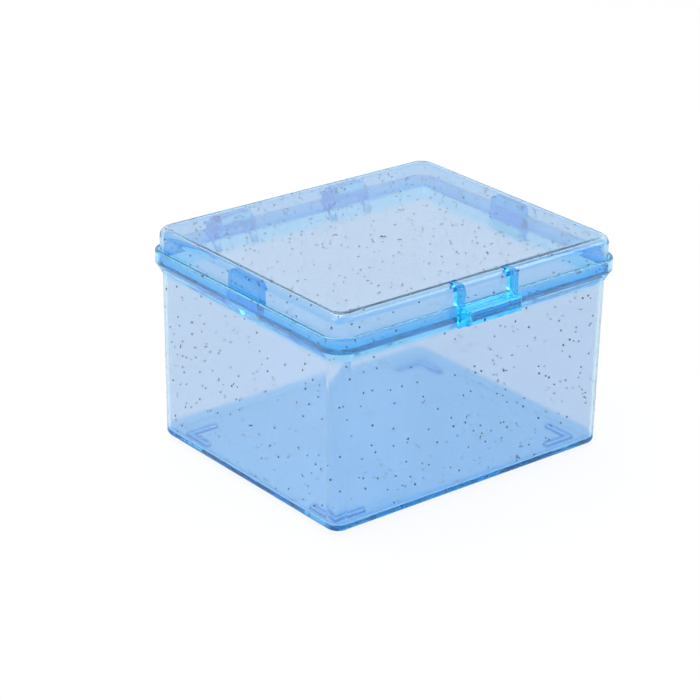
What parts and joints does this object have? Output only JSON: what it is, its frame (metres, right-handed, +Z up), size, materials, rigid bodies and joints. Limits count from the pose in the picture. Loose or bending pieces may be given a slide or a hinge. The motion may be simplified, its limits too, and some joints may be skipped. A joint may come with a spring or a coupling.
{
  "type": "hinged storage box",
  "caption": "Small rectangular box of clear tinted glitter plastic with rounded corners, a flared rim, a hinged plug-in lid, a swing latch at the front and low corner feet.",
  "frame": {"origin": "on the ground under the middle of the closed box, feet at z = 0", "axes": "+Z up, +X along the long side to the right as seen from the front, -Y towards the front, where the latch is"},
  "size_m": [0.095, 0.0884, 0.06],
  "materials": {
    "tub_plastic": "clear tinted polypropylene with glitter flakes moulded in",
    "lid_plastic": "clear tinted polypropylene with glitter flakes moulded in",
    "latch_plastic": "clear tinted polypropylene with glitter flakes moulded in"
  },
  "bodies": {
    "tub": {"storage_tub": "tub_plastic"},
    "lid": {"hinged_lid": "lid_plastic"},
    "latch": {"front_latch": "latch_plastic"}
  },
  "joints": [
    {"name": "lid_hinge", "type": "hinge", "parent": "tub", "child": "lid", "pos_m": [0, 0.04225, 0.053], "axis": [-1, 0, 0], "range_deg": [0, 180]},
    {"name": "latch_pivot", "type": "hinge", "parent": "lid", "child": "latch", "pos_m": [0, -0.0377, 0.05879], "axis": [-1, 0, 0], "range_deg": [0, 70]}
  ]
}
